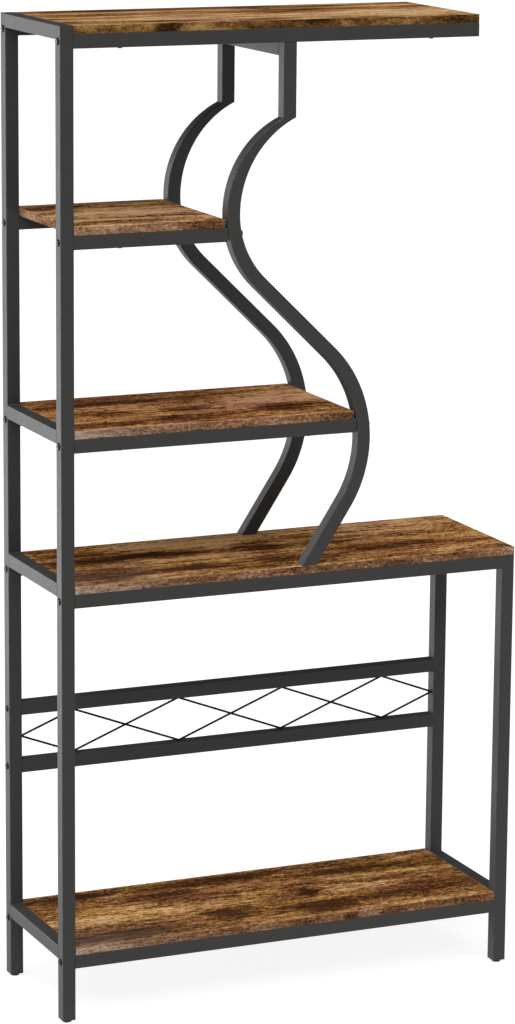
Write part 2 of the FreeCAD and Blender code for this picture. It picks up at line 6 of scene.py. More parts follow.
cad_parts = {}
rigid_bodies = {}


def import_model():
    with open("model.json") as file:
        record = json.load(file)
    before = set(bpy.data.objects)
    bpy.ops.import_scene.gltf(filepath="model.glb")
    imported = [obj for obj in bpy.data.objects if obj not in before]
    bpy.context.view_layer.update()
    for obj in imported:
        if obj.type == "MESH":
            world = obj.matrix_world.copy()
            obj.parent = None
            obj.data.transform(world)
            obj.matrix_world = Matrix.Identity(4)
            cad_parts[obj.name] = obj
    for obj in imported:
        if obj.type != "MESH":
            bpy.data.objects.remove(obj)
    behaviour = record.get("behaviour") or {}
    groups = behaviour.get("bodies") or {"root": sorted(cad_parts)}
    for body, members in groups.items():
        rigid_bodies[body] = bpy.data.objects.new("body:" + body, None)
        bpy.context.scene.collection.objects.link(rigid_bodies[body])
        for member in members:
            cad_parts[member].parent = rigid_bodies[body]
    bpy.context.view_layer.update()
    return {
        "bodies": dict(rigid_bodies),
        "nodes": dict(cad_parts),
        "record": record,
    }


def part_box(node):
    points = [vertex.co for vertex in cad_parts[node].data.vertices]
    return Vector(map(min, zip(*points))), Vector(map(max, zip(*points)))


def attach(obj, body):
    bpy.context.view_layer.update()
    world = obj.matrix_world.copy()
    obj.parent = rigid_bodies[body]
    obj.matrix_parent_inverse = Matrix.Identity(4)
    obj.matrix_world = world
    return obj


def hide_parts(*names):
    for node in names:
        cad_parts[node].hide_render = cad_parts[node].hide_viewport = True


# Looks of the tiered plant stand, in metres, in the frame of its solids: the finishes of the tubes,
# boards and fasteners, the weld seams, the threads and pads of the feet, and a plain studio around it.

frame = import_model()
nodes = frame["nodes"]
slots = {subpart["node"]: subpart["material_slot"] for subpart in frame["record"]["subparts"]}

# Camera: it looks at a point near the middle of the stand, from the left and above
CAMERA_TARGET = Vector((-0.0072, 0.0, 0.8841))
CAMERA_DISTANCE = 6.8456
CAMERA_YAW = math.radians(23.80)
CAMERA_PITCH = math.radians(12.27)
CAMERA_ROLL = math.radians(0.484)
CAMERA_LENS = 130.48  # millimetres
CAMERA_SENSOR = 36.0  # millimetres
CAMERA_REACH = 500.0  # how far it sees

# Studio
FLOOR_SIZE = 120.0
FLOOR_COLOUR = (0.28, 0.28, 0.28, 1.0)
FLOOR_GLOW = 0.85  # what the floor adds for the eye, so that it shows white
AMBIENT = 0.12  # strength of the plain surroundings
STAND_MIDDLE = Vector((0.0, 0.0, 0.9))  # where the lamps point

# Boards
MIDDLE_TONE = 0.58  # tone of the middle brown
STAIN_DRIFT = Vector((0.14, 0.032, 0.0))  # span of the grain's pull on a stain's oval
STAIN_REACH = 1.5  # where a stain ends, in half lengths and half widths
STAIN_HEIGHT = 10.0  # a stain goes right through its board
STAIN_FADE = 0.62  # share of a stain that fades out to its rim
STAIN_STRENGTH = 1.30
PATCH_CORE = 0.4  # share of an edge patch that has its full depth
PORE_STRENGTH = 0.45
RUB_AND_HIGHLIGHT_STRENGTH = 0.5  # how strongly the paler corners show, partly rubbed wood and partly a painted highlight
WORN_BOARDS = ("third_board", "fourth_board", "bottom_board")
WORN_END = 0.30  # length of the paler stretch at the left end of their front edges
WORN_FADE = 2.2  # how fast that stretch fades out
# Painted sheen: a grey patch on the front left of these boards' faces, for light glancing off them
PAINTED_SHEEN_BOARDS = ("fourth_board", "bottom_board")
PAINTED_SHEEN_LENGTH = 0.34  # length of the painted sheen, a paler grey patch on the front left part of their faces
PAINTED_SHEEN_WIDTH = 0.13
PAINTED_SHEEN_STRENGTH = 0.8

# How much lighter or darker than the middle brown each board is
LIGHTNESS = {
    "top_board": 0.04,
    "second_board": 0.17,
    "third_board": 0.075,
    "fourth_board": 0.105,
    "bottom_board": -0.05,
}

# How strongly the broad bands and the fine marks of each board's grain show
GRAIN = {
    "top_board": (1.40, 0.58),
    "second_board": (1.90, 1.22),
    "third_board": (1.20, 1.02),
    "fourth_board": (1.40, 1.10),
    "bottom_board": (1.05, 0.93),
}

# Cast of each board's face, as shares of its red, green, blue and cover: partly the wood's own colour, partly
# a painted sheen that greys it, strongest on the top board
CAST_AND_PAINTED_SHEEN = {
    "top_board": (1.0, 1.17, 1.62, 1.0),
    "second_board": (1.0, 1.10, 1.36, 1.0),
    "third_board": (1.0, 1.00, 1.25, 1.0),
    "fourth_board": (1.0, 1.04, 1.20, 1.0),
    "bottom_board": (1.0, 1.09, 1.26, 1.0),
}

# Patches on the boards' edges: along, half length, and depth of tone, below 0 for paler wood
EDGE_PATCHES = {
    "top_board": (
        (-0.250, 0.030, 0.34),
        (0.040, 0.046, 0.28),
        (-0.195, 0.036, -0.20),
        (-0.360, 0.100, -0.12),
        (0.200, 0.110, -0.06),
    ),
    "second_board": (
        (-0.330, 0.170, -0.16),
        (-0.175, 0.060, 0.16),
    ),
    "third_board": (),
    "fourth_board": (),
    "bottom_board": (
        (0.125, 0.020, 0.26),
        (0.040, 0.040, 0.12),
    ),
}

# Dark and pale ovals on the boards' faces, most of them stains: along, across, half length, half width, and
# depth of tone, below 0 for paler wood
STAINS = {
    "top_board": (
        (0.02, 0.11, 0.30, 0.030, 0.14),
        (-0.33, 0.12, 0.10, 0.030, 0.16),
        (0.05, 0.02, 0.14, 0.036, 0.14),
        (-0.13, 0.10, 0.24, 0.050, 0.08),
        (-0.24, -0.11, 0.09, 0.014, 0.20),
        (-0.04, -0.13, 0.05, 0.020, 0.18),
        (0.26, -0.08, 0.16, 0.050, -0.22),
        (-0.10, -0.10, 0.36, 0.050, -0.09),
        (0.25, 0.10, 0.10, 0.040, -0.07),
    ),
    "second_board": (
        (-0.26, 0.10, 0.13, 0.030, 0.22),
        (-0.36, 0.04, 0.05, 0.016, 0.16),
        (-0.32, -0.11, 0.10, 0.018, 0.22),
        (-0.39, 0.10, 0.07, 0.045, 0.20),
        (-0.19, 0.00, 0.08, 0.035, -0.24),
        (-0.29, 0.00, 0.10, 0.035, -0.36),
    ),
    "third_board": (
        (-0.16, -0.02, 0.05, 0.020, 0.34),
        (0.02, -0.06, 0.06, 0.034, 0.34),
        (-0.34, -0.015, 0.09, 0.012, 0.26),
        (-0.34, -0.115, 0.05, 0.022, 0.20),
        (-0.18, 0.08, 0.14, 0.022, 0.22),
        (-0.22, -0.09, 0.03, 0.014, 0.26),
        (0.02, 0.11, 0.12, 0.024, 0.10),
        (-0.36, 0.10, 0.08, 0.045, 0.16),
        (-0.15, -0.10, 0.12, 0.040, 0.12),
        (-0.30, 0.04, 0.12, 0.020, -0.12),
        (-0.22, 0.00, 0.07, 0.040, -0.12),
        (0.04, 0.02, 0.12, 0.034, -0.36),
        (0.05, 0.09, 0.07, 0.045, -0.14),
    ),
    "fourth_board": (
        (-0.33, -0.09, 0.09, 0.042, 0.40),
        (-0.17, 0.035, 0.09, 0.024, 0.34),
        (-0.15, -0.085, 0.07, 0.020, 0.38),
        # A large dark oval that runs across the board rather than along it
        (0.01, 0.03, 0.035, 0.050, 0.36),
        (0.00, -0.075, 0.07, 0.024, 0.40),
        (0.27, -0.06, 0.14, 0.034, 0.20),
        (0.14, 0.06, 0.07, 0.034, 0.20),
        (-0.33, 0.05, 0.11, 0.060, 0.28),
        (-0.10, -0.10, 0.10, 0.040, 0.12),
        (0.33, 0.00, 0.12, 0.040, 0.08),
        (-0.10, 0.10, 0.12, 0.045, -0.48),
        (0.12, 0.11, 0.10, 0.040, -0.14),
        (0.30, 0.10, 0.14, 0.036, -0.18),
        (-0.20, -0.02, 0.10, 0.024, -0.12),
    ),
    "bottom_board": (
        (-0.15, 0.065, 0.07, 0.022, 0.30),
        (-0.06, 0.120, 0.12, 0.022, 0.20),
        (-0.34, 0.12, 0.08, 0.020, 0.24),
        (-0.09, -0.075, 0.05, 0.028, 0.32),
        # A dark band along the front left of the board
        (-0.36, -0.115, 0.10, 0.026, 0.26),
        (0.100, -0.015, 0.022, 0.022, 0.40),
        (0.08, -0.115, 0.06, 0.026, 0.26),
        (0.12, -0.085, 0.12, 0.030, 0.14),
        (0.31, -0.06, 0.10, 0.032, 0.18),
        (0.24, 0.085, 0.12, 0.026, 0.16),
        (-0.26, -0.02, 0.17, 0.034, -0.22),
        (0.21, -0.02, 0.09, 0.018, -0.22),
    ),
}

# Colours of the wood: stops of tone, each with its swatch in 0 to 255 screen steps
GOLDEN_FACE = (
    (0.12, (60, 39, 20)),
    (0.32, (94, 58, 26)),
    (0.48, (136, 90, 41)),
    (0.66, (170, 120, 58)),
    (0.80, (190, 141, 75)),
    (1.00, (222, 174, 107)),
)
REDDISH_FACE = (
    (0.12, (56, 35, 21)),
    (0.32, (87, 48, 27)),
    (0.48, (126, 76, 45)),
    (0.66, (156, 102, 63)),
    (0.80, (175, 122, 79)),
    (1.00, (207, 157, 113)),
)
TOP_EDGE = (
    (0.14, (52, 34, 18)),
    (0.42, (106, 74, 40)),
    (0.62, (146, 106, 60)),
    (0.88, (190, 148, 94)),
)
OTHER_EDGES = (
    (0.14, (68, 42, 25)),
    (0.42, (128, 88, 60)),
    (0.62, (164, 120, 88)),
    (0.88, (208, 172, 140)),
)
# Colour of the painted sheen on the lower boards
PAINTED_SHEEN_GREY = (124, 108, 97)
PORE_BROWN = (52, 32, 18)
WORN_PALE = (208, 186, 164)
# Paler corners of the boards: partly rubbed wood, partly a painted highlight
RUBBED_AND_HIGHLIGHT_PALE = (196, 166, 128)

# Tone of the edges: where it starts, and the weights of flecks, specks and patches in it
TOP_EDGE_MARKS = (-1.36, 1.5, 0.5, 1.7)
OTHER_EDGE_MARKS = (-1.44, 2.0, 0.7, 1.1)

# Colours of the other finishes
COAT_GREY = (46, 46, 45)
# Paler corner colours of the coats: partly rubbed paint, partly a painted highlight
COAT_CORNER_RUB_AND_HIGHLIGHT = (74, 74, 72)
COAT_LIFT = 1.22  # how much paler the coat's faint clouds are
WIRE_BLACK = (18, 18, 18)
WIRE_CORNER_RUB_AND_HIGHLIGHT = (32, 32, 31)
WIRE_SHINE = 0.2
OXIDE_BLACK = (30, 30, 31)
OXIDE_RUBBED = (56, 53, 50)
OXIDE_METAL = 0.65  # share of bare metal that shows through the oxide
ZINC = (
    (0.32, (168, 172, 176)),
    (0.50, (190, 190, 186)),
    (0.68, (192, 184, 164)),
)
PLASTIC_BLACK = (26, 26, 27)
PLASTIC_DUST = (46, 45, 44)

# Rounded corners: how closely a flat face points along an axis, and how closely a full corner does
FLAT = 0.99
ROUNDED = 0.85

# Weld seams
RIPPLE_SEGMENTS = 10
RIPPLE_RINGS = 6
RIPPLE_RADIUS = 0.0016
RIPPLE_LENGTH = 0.75  # against its width
RIPPLE_PITCH = 0.0014
SEAM_INSET = 0.0022  # from a tube's rounded corners to the ends of a seam

# Feet
STUD_SIDES = 32
STUD_SMOOTH = math.radians(40.0)
THREAD_PITCH = 0.001
THREAD_DEPTH = 0.00055
THREAD_STEPS = 20
PAD_SIDES = 72
PAD_SMOOTH = math.radians(35.0)
GRIP_RIBS = 24
GRIP_DEPTH = 0.0006
PAD_RIM = 0.0016
PAD_HOLLOW = 0.0008
PAD_EASE = 0.0005


def make_camera():
    """Camera at the photograph's angle."""
    forward = Vector((
        math.sin(CAMERA_YAW) * math.cos(CAMERA_PITCH),
        math.cos(CAMERA_YAW) * math.cos(CAMERA_PITCH),
        -math.sin(CAMERA_PITCH),
    ))
    level_right = Vector((math.cos(CAMERA_YAW), -math.sin(CAMERA_YAW), 0.0))
    level_up = level_right.cross(forward)
    right = level_right * math.cos(CAMERA_ROLL) + level_up * math.sin(CAMERA_ROLL)
    up = right.cross(forward)
    place = CAMERA_TARGET - forward * CAMERA_DISTANCE
    camera = bpy.data.objects.new("camera", bpy.data.cameras.new("camera"))
    bpy.context.scene.collection.objects.link(camera)
    turn = Matrix((right, up, -forward)).transposed().to_4x4()
    camera.matrix_world = Matrix.Translation(place) @ turn
    camera.data.sensor_width = CAMERA_SENSOR
    camera.data.lens = CAMERA_LENS
    camera.data.clip_end = CAMERA_REACH
    bpy.context.scene.camera = camera


class Finish:
    """One material in the making, with the few kinds of node that the finishes here are mixed from."""

    def __init__(self, name):
        self.material = bpy.data.materials.new(name)
        self.material.use_nodes = True
        self.tree = self.material.node_tree
        self.shader = self.tree.nodes["Principled BSDF"]
        self.place = self.node("TexCoord").outputs["Object"]

    def feed(self, socket, value):
        """Links an input to another node's output, or sets it to a plain value."""
        if isinstance(value, bpy.types.NodeSocket):
            self.tree.links.new(value, socket)
        else:
            socket.default_value = value

    def node(self, kind, inputs=None, **settings):
        """New node with its settings and inputs."""
        made = self.tree.nodes.new("ShaderNode" + kind)
        for name, value in settings.items():
            setattr(made, name, value)
        for name, value in (inputs or {}).items():
            self.feed(made.inputs[name], value)
        return made

    def sum(self, first, *terms):
        """A start value plus terms that are each a value times a weight."""
        total = first
        for value, weight in terms:
            step = self.node("Math", operation="MULTIPLY_ADD")
            self.feed(step.inputs[0], value)
            self.feed(step.inputs[1], weight)
            self.feed(step.inputs[2], total)
            total = step.outputs["Value"]
        return total

    def math(self, operation, first, second=0.0):
        """Result of a sum on one or two values."""
        step = self.node("Math", operation=operation)
        self.feed(step.inputs[0], first)
        self.feed(step.inputs[1], second)
        return step.outputs["Value"]

    def between(self, value, low, high):
        """0 below low, 1 above high and an even slope between them."""
        step = self.node("MapRange", {"Value": value, "From Min": low, "From Max": high})
        return step.outputs["Result"]

    def noise(self, cells, detail, roughness, warp=0.0):
        """Cloudy pattern with a number of cells to the metre along each axis."""
        grid = self.node("Mapping", {"Vector": self.place, "Scale": cells}).outputs["Vector"]
        return self.node("TexNoise", {
            "Vector": grid,
            "Scale": 1.0,
            "Detail": detail,
            "Roughness": roughness,
            "Distortion": warp,
        })

    def cloud(self, cells, detail, roughness=0.5, warp=0.0):
        """Brightness of a cloudy pattern, about 0.5 in the middle."""
        return self.noise(cells, detail, roughness, warp).outputs["Fac"]

    def ramp(self, value, stops):
        """Colour that runs through stops of a value and a swatch."""
        made = self.node("ValToRGB", {"Fac": value})
        band = made.color_ramp
        while len(band.elements) < len(stops):
            band.elements.new(1.0)
        for element, (at, swatch) in zip(band.elements, stops):
            element.position = at
            element.color = tint(swatch)
        return made.outputs["Color"]

    def mix(self, share, below, above, way="MIX"):
        """One colour over another by a share."""
        made = self.node("Mix", data_type="RGBA", blend_type=way)
        sockets = {socket.identifier: socket for socket in made.inputs}
        self.feed(sockets["Factor_Float"], share)
        self.feed(sockets["A_Color"], below)
        self.feed(sockets["B_Color"], above)
        return next(socket for socket in made.outputs if socket.identifier == "Result_Color")

    def bump(self, height, strength, depth):
        """Small relief on the shader's surface."""
        relief = self.node("Bump", {"Height": height, "Strength": strength, "Distance": depth})
        self.feed(self.shader.inputs["Normal"], relief.outputs["Normal"])

    def set(self, **sockets):
        """Feeds the shader's own inputs."""
        for name, value in sockets.items():
            self.feed(self.shader.inputs[name.replace("_", " ")], value)


def tint(swatch):
    """Colour for a shader from a swatch that is given in 0 to 255 screen steps."""
    linear = []
    for step in swatch:
        share = step / 255.0
        linear.append(share / 12.92 if share <= 0.04045 else ((share + 0.055) / 1.055) ** 2.4)
    return (*linear, 1.0)


def facing(finish):
    """How far a face points along X, Y and Z, and how much it belongs to a rounded corner."""
    normal = finish.node("TexCoord").outputs["Normal"]
    parts = finish.node("SeparateXYZ", {"Vector": normal}).outputs
    along = [finish.math("ABSOLUTE", parts[axis]) for axis in ("X", "Y", "Z")]
    flat = finish.math("MAXIMUM", finish.math("MAXIMUM", along[0], along[1]), along[2])
    corner = finish.between(flat, FLAT, ROUNDED)
    return along, corner


def board_finish(name):
    """Rustic brown board: streaked and stained matt faces, and flecked edges, some worn pale at one end."""
    low, high = [Vector(corner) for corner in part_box(name)]
    wood = Finish(name + "_wood")
    spot = wood.node("SeparateXYZ", {"Vector": wood.place}).outputs

    # The grain pulls the stains out along the board
    drift = wood.noise((16, 60, 60), detail=5, roughness=0.6).outputs["Color"]
    drift = wood.node("VectorMath", {0: drift, 1: (0.5, 0.5, 0.5)}, operation="SUBTRACT").outputs["Vector"]
    pulled = wood.node("VectorMath", operation="MULTIPLY_ADD")
    wood.feed(pulled.inputs[0], drift)
    wood.feed(pulled.inputs[1], STAIN_DRIFT)
    wood.feed(pulled.inputs[2], wood.place)
    pulled = pulled.outputs["Vector"]

    # Tone of the face, from dark at 0 to golden at 1
    bands = wood.cloud((2.5, 22, 22), detail=3, roughness=0.5, warp=0.3)
    blotches = wood.cloud((8, 44, 44), detail=6, roughness=0.65, warp=0.6)
    streaks = wood.cloud((18, 110, 110), detail=5, roughness=0.68, warp=0.4)
    flakes = wood.cloud((80, 160, 160), detail=4, roughness=0.74, warp=0.3)
    chips = wood.cloud((160, 290, 290), detail=2, roughness=0.7)
    fibres = wood.cloud((55, 1000, 1000), detail=2, roughness=0.6)
    cracks = wood.between(wood.cloud((13, 130, 130), detail=5, roughness=0.7, warp=0.5), 0.57, 0.66)
    dashes = wood.between(wood.cloud((34, 190, 190), detail=4, roughness=0.7), 0.56, 0.65)
    broad = wood.sum(-0.925, (bands, 0.80), (blotches, 1.05))
    fine = wood.sum(
        -2.375,
        (streaks, 1.25), (flakes, 2.00), (chips, 1.25), (fibres, 0.25),
        (cracks, -0.34), (dashes, -0.22),
    )
    broad_share, fine_share = GRAIN[name]
    tone = wood.sum(LIGHTNESS[name] + MIDDLE_TONE, (broad, broad_share), (fine, fine_share))
    ragged = wood.math("MAXIMUM", wood.sum(-1.9, (streaks, 2.8), (flakes, 3.0)), 0.0)
    for along, across, half_length, half_width, depth in STAINS[name]:
        oval = wood.node("Mapping", {
            "Vector": pulled,
            "Location": (along, across, high.z),
            "Scale": (half_length * STAIN_REACH, half_width * STAIN_REACH, STAIN_HEIGHT),
        }, vector_type="TEXTURE").outputs["Vector"]
        stain = wood.node("TexGradient", {"Vector": oval}, gradient_type="SPHERICAL").outputs["Fac"]
        stain = wood.between(stain, 0.0, STAIN_FADE)
        tone = wood.sum(tone, (wood.math("MULTIPLY", stain, ragged), -STAIN_STRENGTH * depth))
    redness = wood.between(wood.cloud((5, 36, 36), detail=4, roughness=0.6, warp=0.5), 0.42, 0.60)
    face = wood.mix(redness, wood.ramp(tone, GOLDEN_FACE), wood.ramp(tone, REDDISH_FACE))
    # Cast of the wood, with a painted sheen that greys the face, strongest on the top board
    face = wood.mix(1.0, face, CAST_AND_PAINTED_SHEEN[name], way="MULTIPLY")

    # Painted sheen: a paler grey patch on the front left of the face, standing in for light glancing off it
    if name in PAINTED_SHEEN_BOARDS:
        painted_sheen = wood.math(
            "MULTIPLY",
            wood.between(spot["X"], low.x + PAINTED_SHEEN_LENGTH, low.x),
            wood.between(spot["Y"], low.y + PAINTED_SHEEN_WIDTH, low.y),
        )
        patchy = wood.between(wood.sum(0.0, (blotches, 0.5), (streaks, 0.5)), 0.40, 0.58)
        painted_sheen = wood.math("MULTIPLY", painted_sheen, patchy)
        face = wood.mix(wood.math("MULTIPLY", painted_sheen, PAINTED_SHEEN_STRENGTH), face, tint(PAINTED_SHEEN_GREY))

    # Short dark pores
    pores = wood.between(wood.cloud((70, 700, 700), detail=3, roughness=0.7), 0.60, 0.70)
    face = wood.mix(wood.math("MULTIPLY", pores, PORE_STRENGTH), face, tint(PORE_BROWN))

    # Edges: short flecks of several browns
    along, corner = facing(wood)
    flecks = wood.cloud((150, 150, 280), detail=4, roughness=0.7, warp=1.0)
    specks = wood.cloud((420, 420, 560), detail=2, roughness=0.6)
    patches = wood.cloud((11, 11, 45), detail=4, roughness=0.6, warp=0.6)
    top = name == "top_board"
    start, fleck_share, speck_share, patch_share = TOP_EDGE_MARKS if top else OTHER_EDGE_MARKS
    shade = wood.sum(start, (flecks, fleck_share), (specks, speck_share), (patches, patch_share))
    for middle, half_length, depth in EDGE_PATCHES[name]:
        away = wood.math("ABSOLUTE", wood.math("SUBTRACT", spot["X"], middle))
        shade = wood.sum(shade, (wood.between(away, half_length, half_length * PATCH_CORE), -depth))
    edge = wood.ramp(shade, TOP_EDGE if top else OTHER_EDGES)
    if name in WORN_BOARDS:
        worn = wood.math("POWER", wood.between(spot["X"], low.x + WORN_END, low.x), WORN_FADE)
        worn = wood.math("MULTIPLY", worn, wood.between(along[1], 0.6, 0.8))
        scrapes = wood.cloud((30, 30, 420), detail=3, roughness=0.6)
        scrapes = wood.between(wood.sum(0.0, (scrapes, 0.5), (flecks, 0.5)), 0.38, 0.58)
        edge = wood.mix(wood.math("MULTIPLY", worn, scrapes), edge, tint(WORN_PALE))

    # Face and edge together, with paler corners: partly rubbed wood and partly a painted highlight along the
    # arrises
    is_edge = wood.between(along[2], 0.80, 0.60)
    colour = wood.mix(is_edge, face, edge)
    rubbed = wood.math("MULTIPLY", corner, wood.between(wood.cloud((60, 60, 60), detail=3), 0.35, 0.6))
    colour = wood.mix(wood.math("MULTIPLY", rubbed, RUB_AND_HIGHLIGHT_STRENGTH), colour, tint(RUBBED_AND_HIGHLIGHT_PALE))

    roughness = wood.sum(0.34, (tone, -0.14), (streaks, 0.10), (is_edge, 0.16))
    wood.set(Base_Color=colour, Roughness=roughness, Specular_IOR_Level=0.0)
    wood.bump(wood.sum(0.0, (fibres, 0.4), (streaks, 0.6), (pores, -0.5)), strength=0.12, depth=0.0004)
    return wood.material


def coat_finish(name, swatch, rub_and_highlight_swatch, bent=False, shine=0.5):
    """Satin powder coat: fine orange peel, faint clouds, and paler, smoother corners: partly thinner, rubbed
    paint, partly a painted highlight along the arrises.
    """
    coat = Finish(name)
    clouds = coat.cloud((28, 28, 28), detail=4, roughness=0.55)
    peel = coat.cloud((850, 850, 850), detail=2, roughness=0.5)
    grit = coat.cloud((2600, 2600, 2600), detail=1, roughness=0.5)
    paint = tint(swatch)
    paler = (*[share * COAT_LIFT for share in paint[:3]], 1.0)
    colour = coat.mix(coat.between(clouds, 0.30, 0.70), paint, paler)
    along, corner = facing(coat)
    if bent:
        corner = coat.between(coat.math("PINGPONG", along[1], 0.5), 0.05, 0.25)
    # Paler corners: partly rubbed paint, partly a painted highlight along the arrises
    rubbed = coat.between(coat.cloud((90, 90, 90), detail=4, roughness=0.6), 0.42, 0.66)
    rubbed = coat.math("MULTIPLY", rubbed, corner)
    colour = coat.mix(rubbed, colour, tint(rub_and_highlight_swatch))
    roughness = coat.sum(0.50, (clouds, 0.10), (grit, 0.10), (rubbed, -0.10))
    coat.set(Base_Color=colour, Roughness=roughness, Specular_IOR_Level=shine)
    coat.bump(coat.sum(0.0, (peel, 0.8), (grit, 0.2)), strength=0.20, depth=0.0003)
    return coat.material


def bolt_finish(name):
    """Black oxide on steel, a little browner and smoother where hands and keys rub it."""
    oxide = Finish(name)
    smut = oxide.cloud((220, 220, 220), detail=4, roughness=0.6)
    grain = oxide.cloud((3000, 3000, 3000), detail=2, roughness=0.5)
    rubbed = oxide.between(smut, 0.50, 0.75)
    colour = oxide.mix(rubbed, tint(OXIDE_BLACK), tint(OXIDE_RUBBED))
    oxide.set(Base_Color=colour, Roughness=oxide.sum(0.26, (grain, 0.12), (rubbed, -0.06)))
    oxide.shader.inputs["Metallic"].default_value = OXIDE_METAL
    oxide.bump(grain, strength=0.10, depth=0.0001)
    return oxide.material


def steel_finish(name):
    """Zinc plating: pale, slightly blue and yellow by turns, with a frosted crystal grain."""
    zinc = Finish(name)
    clouds = zinc.cloud((160, 160, 160), detail=4, roughness=0.6)
    grain = zinc.cloud((1800, 1800, 1800), detail=2, roughness=0.6)
    zinc.set(Base_Color=zinc.ramp(clouds, ZINC), Roughness=zinc.sum(0.26, (grain, 0.14), (clouds, 0.10)))
    zinc.shader.inputs["Metallic"].default_value = 1.0
    zinc.bump(grain, strength=0.08, depth=0.0001)
    return zinc.material


def plastic_finish(name):
    """Black moulded plastic with a fine spark-eroded grain, dustier in patches."""
    plastic = Finish(name)
    dust = plastic.cloud((240, 240, 240), detail=4, roughness=0.6)
    grain = plastic.cloud((2200, 2200, 2200), detail=2, roughness=0.6)
    colour = plastic.mix(plastic.between(dust, 0.40, 0.75), tint(PLASTIC_BLACK), tint(PLASTIC_DUST))
    plastic.set(Base_Color=colour, Roughness=plastic.sum(0.44, (grain, 0.14), (dust, 0.10)))
    plastic.bump(grain, strength=0.25, depth=0.0002)
    return plastic.material


def dress_nodes():
    """Gives each solid its finish."""
    bent_coat = coat_finish("bent_frame_coat", COAT_GREY, COAT_CORNER_RUB_AND_HIGHLIGHT, bent=True)
    finishes = {
        "frame_coat": coat_finish("frame_coat", COAT_GREY, COAT_CORNER_RUB_AND_HIGHLIGHT),
        "wire_coat": coat_finish("wire_coat", WIRE_BLACK, WIRE_CORNER_RUB_AND_HIGHLIGHT, bent=True, shine=WIRE_SHINE),
        "bolt_black": bolt_finish("bolt_black"),
        "plated_steel": steel_finish("plated_steel"),
        "black_plastic": plastic_finish("black_plastic"),
    }
    for name, slot in slots.items():
        if slot == "board_wood":
            finish = board_finish(name)
        elif name.endswith("_s_bar"):
            finish = bent_coat
        else:
            finish = finishes[slot]
        nodes[name].data.materials.clear()
        nodes[name].data.materials.append(finish)
    return finishes


def begin(add_primitive, **sizes):
    """New primitive, with nothing else selected."""
    bpy.ops.object.select_all(action="DESELECT")
    add_primitive(**sizes)
    return bpy.context.object


def pick(piece, kind, wanted):
    """In edit mode, with one kind of element on, selects the elements of a piece that are wanted."""
    bpy.ops.object.mode_set(mode="EDIT")
    bpy.ops.mesh.select_mode(type=kind)
    bpy.ops.mesh.select_all(action="DESELECT")
    bpy.ops.object.mode_set(mode="OBJECT")
    mesh = piece.data
    elements = {"VERT": mesh.vertices, "EDGE": mesh.edges, "FACE": mesh.polygons}[kind]
    for element in elements:
        element.select = wanted(element)
    bpy.ops.object.mode_set(mode="EDIT")


def settle(piece):
    """Puts a piece's place and turn into its mesh."""
    bpy.ops.object.select_all(action="DESELECT")
    piece.select_set(True)
    bpy.context.view_layer.objects.active = piece
    bpy.ops.object.transform_apply(location=True, rotation=True, scale=True)


def copy_to(piece, place, turn=(0.0, 0.0, 0.0)):
    """Copy of a piece with its own mesh, at a place."""
    twin = piece.copy()
    twin.data = piece.data.copy()
    bpy.context.scene.collection.objects.link(twin)
    twin.location = place
    twin.rotation_euler = turn
    settle(twin)
    return twin


def joined(name, pieces):
    """One piece made of several."""
    bpy.ops.object.select_all(action="DESELECT")
    for piece in pieces:
        piece.select_set(True)
    bpy.context.view_layer.objects.active = pieces[0]
    bpy.ops.object.join()
    pieces[0].name = name
    return pieces[0]


def dressed(piece, body, slot):
    """Puts a new piece on its body, with its finish."""
    piece.data.materials.clear()
    piece.data.materials.append(finishes[slot])
    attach(piece, body)


def weld_row():
    """Row of weld ripples along X, a little shorter than a tube is wide, with its middle at the origin."""
    low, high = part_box("left_third_side_rail")
    length = high[0] - low[0] - 2.0 * SEAM_INSET
    row = begin(
        bpy.ops.mesh.primitive_uv_sphere_add,
        segments=RIPPLE_SEGMENTS, ring_count=RIPPLE_RINGS, radius=RIPPLE_RADIUS,
    )
    bpy.ops.object.mode_set(mode="EDIT")
    bpy.ops.transform.resize(value=(RIPPLE_LENGTH, 1.0, 1.0))
    bpy.ops.transform.translate(value=(-length / 2.0, 0.0, 0.0))
    bpy.ops.object.mode_set(mode="OBJECT")
    bpy.ops.object.shade_smooth()
    repeat = row.modifiers.new("ripples", "ARRAY")
    repeat.use_relative_offset = False
    repeat.use_constant_offset = True
    repeat.count = round(length / RIPPLE_PITCH) + 1
    repeat.constant_offset_displace = (length / (repeat.count - 1), 0.0, 0.0)
    bpy.ops.object.modifier_apply(modifier=repeat.name)
    return row


def rail_corners(rail, sides):
    """Places where the top or the underside of a side rail meets the posts at its two ends."""
    low, high = [Vector(corner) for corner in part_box(rail)]
    heights = {"top": high.z, "under": low.z}
    return [Vector(((low.x + high.x) / 2.0, y, heights[side])) for y in (low.y, high.y) for side in sides]


def weld_frames():
    """Weld seams in the inner corners of the four welded frames. The outer faces are ground flush."""
    row = weld_row()
    both = ("top", "under")
    left = []
    for rail in ("third", "fourth", "bottom"):
        left += rail_corners("left_" + rail + "_side_rail", both)
    rail_low, rail_high = [Vector(corner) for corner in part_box("left_top_rail")]
    for y in (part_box("left_front_post")[1][1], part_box("left_rear_post")[0][1]):
        left.append(Vector(((rail_low.x + rail_high.x) / 2.0, y, rail_low.z)))
    right = rail_corners("right_lower_side_rail", both) + rail_corners("right_upper_side_rail", ("under",))
    middle = rail_corners("s_frame_cross_bar", ("under",))
    for name, places in (("left_frame_welds", left), ("right_frame_welds", right), ("s_frame_welds", middle)):
        dressed(joined(name, [copy_to(row, place) for place in places]), "frame", "frame_coat")

    # The top shelf's mitred corners are welded on the inside, from top to bottom
    end_low, end_high = [Vector(corner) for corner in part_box("top_end_rail")]
    upright = (0.0, math.pi / 2.0, 0.0)
    corners = []
    for y in (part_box("top_front_rail")[1][1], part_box("top_rear_rail")[0][1]):
        corners.append(copy_to(row, Vector((end_low.x, y, (end_low.z + end_high.z) / 2.0)), upright))
    dressed(joined("top_frame_welds", corners), "frame", "frame_coat")
    bpy.data.objects.remove(row)


